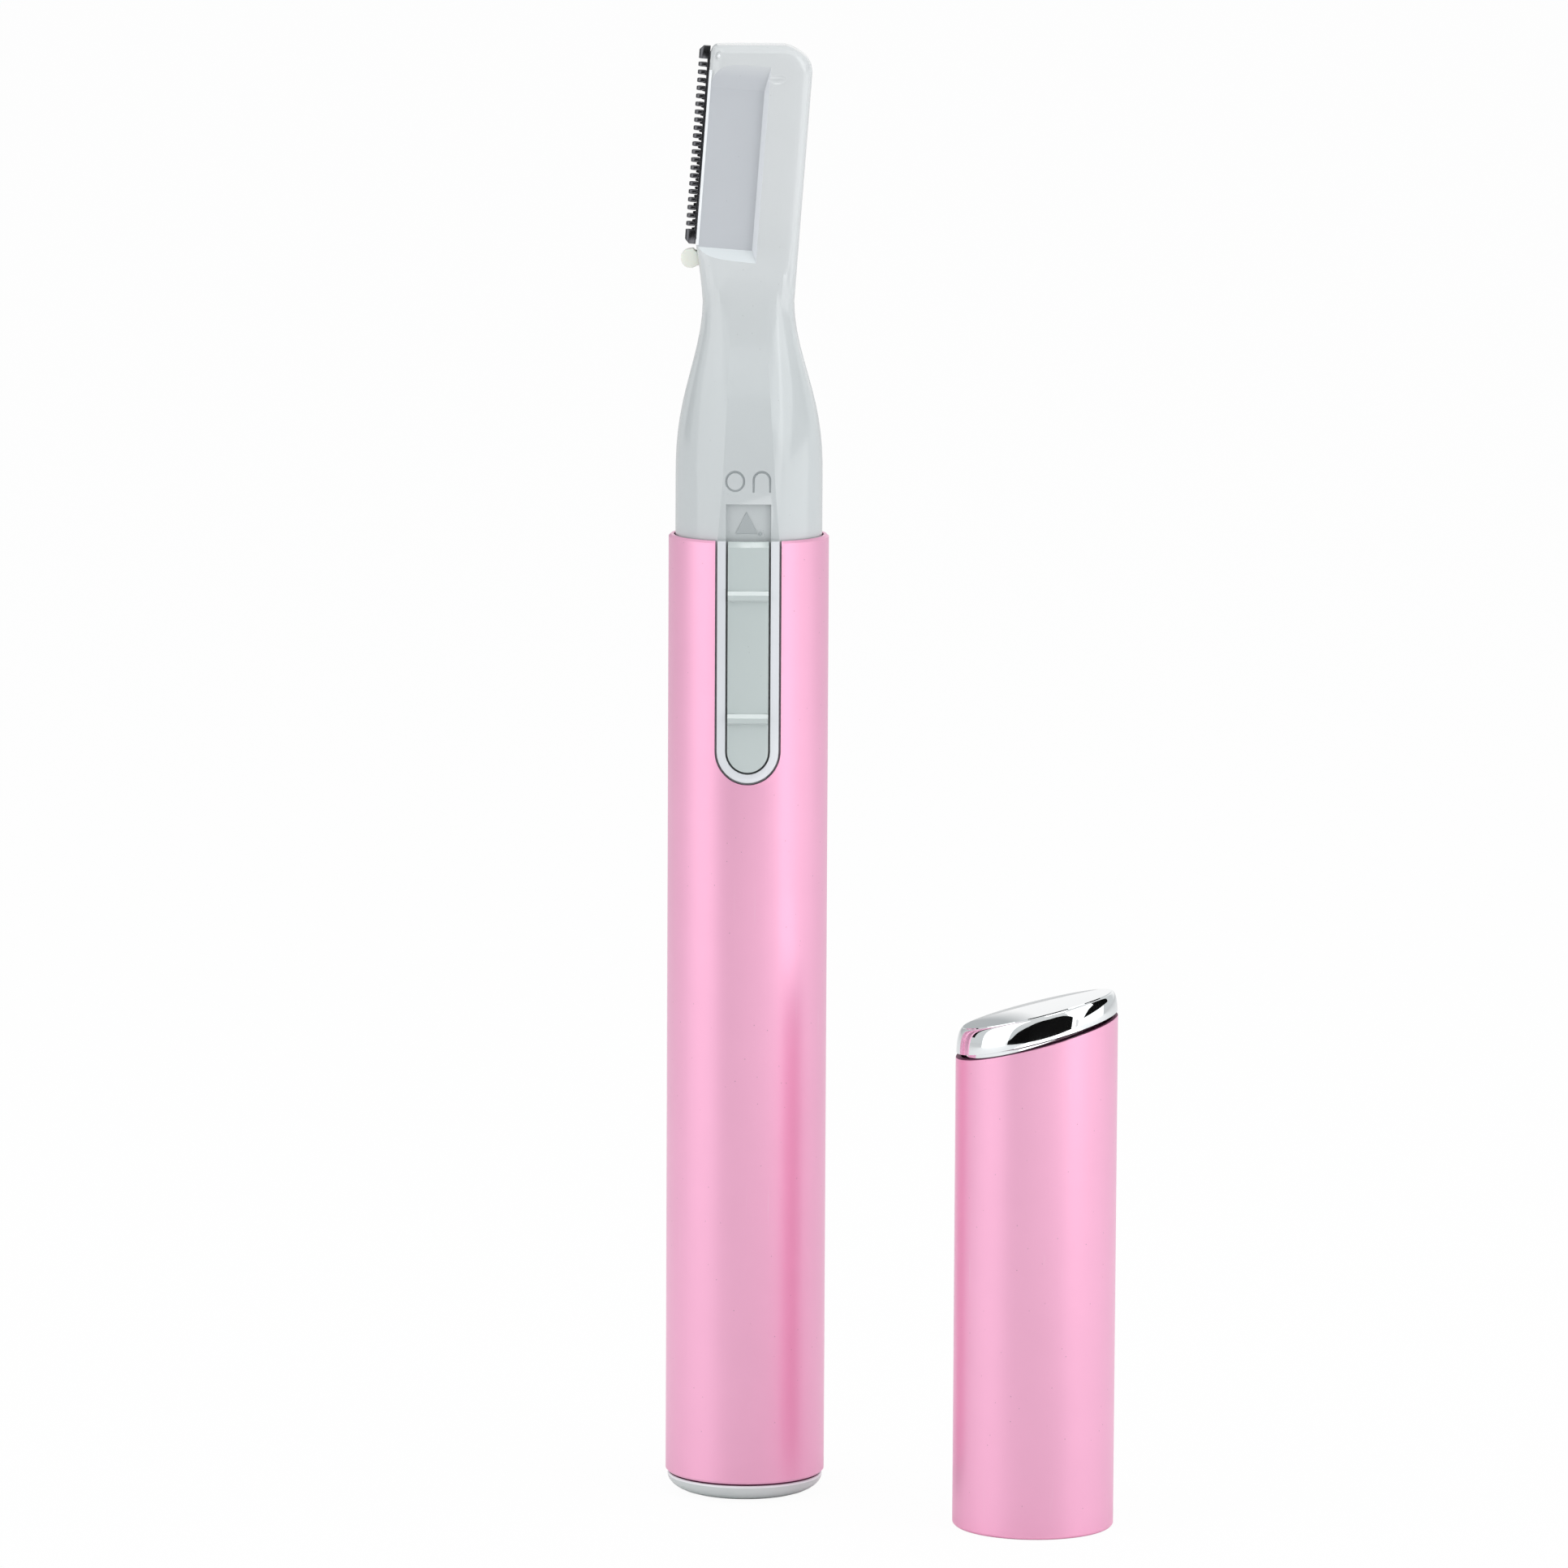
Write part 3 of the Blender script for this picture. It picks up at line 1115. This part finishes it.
def make_cap_top_insert(axis):
    """A hollow cap with a skirt inside the tube and a rounded slanted top."""
    skirt = TUBE_BORE - CAP_INSERT_FIT
    outer = TUBE_RADIUS - CAP_INSERT_INSET
    slope = math.tan(CAP_SLANT)
    rise = CAP_INSERT_HEIGHT

    def slanted_ring(radius, height):
        """A level circle raised onto a plane parallel to the slant."""
        ring = []
        for x, y in ring_loop(0.0, 0.0, radius, TUBE_STEPS):
            ring.append((x, y, CAP_MIDDLE + height + slope * x))
        return ring

    rings = [slanted_ring(skirt, -CAP_INSERT_SKIRT), slanted_ring(skirt, SEAT_GAP / 2),
             slanted_ring(outer, SEAT_GAP / 2 + HAIR_GAP / 2)]
    for i in range(5):
        angle = math.radians(90) * i / 4
        rings.append(slanted_ring(outer - CAP_INSERT_ROUND * (1 - math.cos(angle)),
                                  rise - CAP_INSERT_ROUND * (1 - math.sin(angle))))
    insert = part("cap_top_insert", smooth(loft(rings), 50), CHROME, axis)
    inside = skirt - CAP_INSERT_WALL
    hollow = loft([slanted_ring(inside, -CAP_INSERT_SKIRT - SEAT_GAP),
                   slanted_ring(inside, rise - 2 * CAP_INSERT_WALL),
                   slanted_ring(inside - CAP_INSERT_WALL, rise - CAP_INSERT_WALL)])
    cut(insert, shape("insert_hollow", hollow, axis))


def main():
    head_axes = axis_empty("head_axes", (-BLADE_OFFSET, 0.0, HEAD_BASE), HEAD_LEAN)
    rotor_axis = axis_empty("rotor_axis", (0.0, MOTOR_BACK, MOTOR_BOTTOM))
    pivot = axis_empty("lever_pivot", (LEVER_PIVOT_X, 0.0, PIVOT_Z))
    cap_axis = axis_empty("cap_axis", (CAP_X, CAP_Y, 0.0))
    bpy.context.view_layer.update()

    make_barrel_tube()
    make_end_plug()
    common = make_common_body(head_axes)
    make_front_shell(common)
    make_rear_shell(common)
    make_comb_blade(head_axes)
    make_cutter_blade(head_axes)
    make_cutter_carrier(head_axes)
    make_blade_spring(head_axes)
    make_drive_lever(pivot)
    make_lever_pivot_pin()
    make_motor_can()
    make_motor_end_bell()
    make_motor_bearing_bush()
    make_magnets()
    make_brushes()
    make_motor_shaft(rotor_axis)
    make_commutator(rotor_axis)
    make_rotor_core(rotor_axis)
    make_rotor_windings(rotor_axis)
    make_eccentric_cam(rotor_axis)
    make_battery_cell()
    make_negative_spring()
    make_negative_strip()
    make_positive_contact()
    make_motor_feed_strip()
    make_switch_slider()
    make_switch_contact_bridge()
    make_cap_tube(cap_axis)
    make_cap_top_insert(cap_axis)


main()
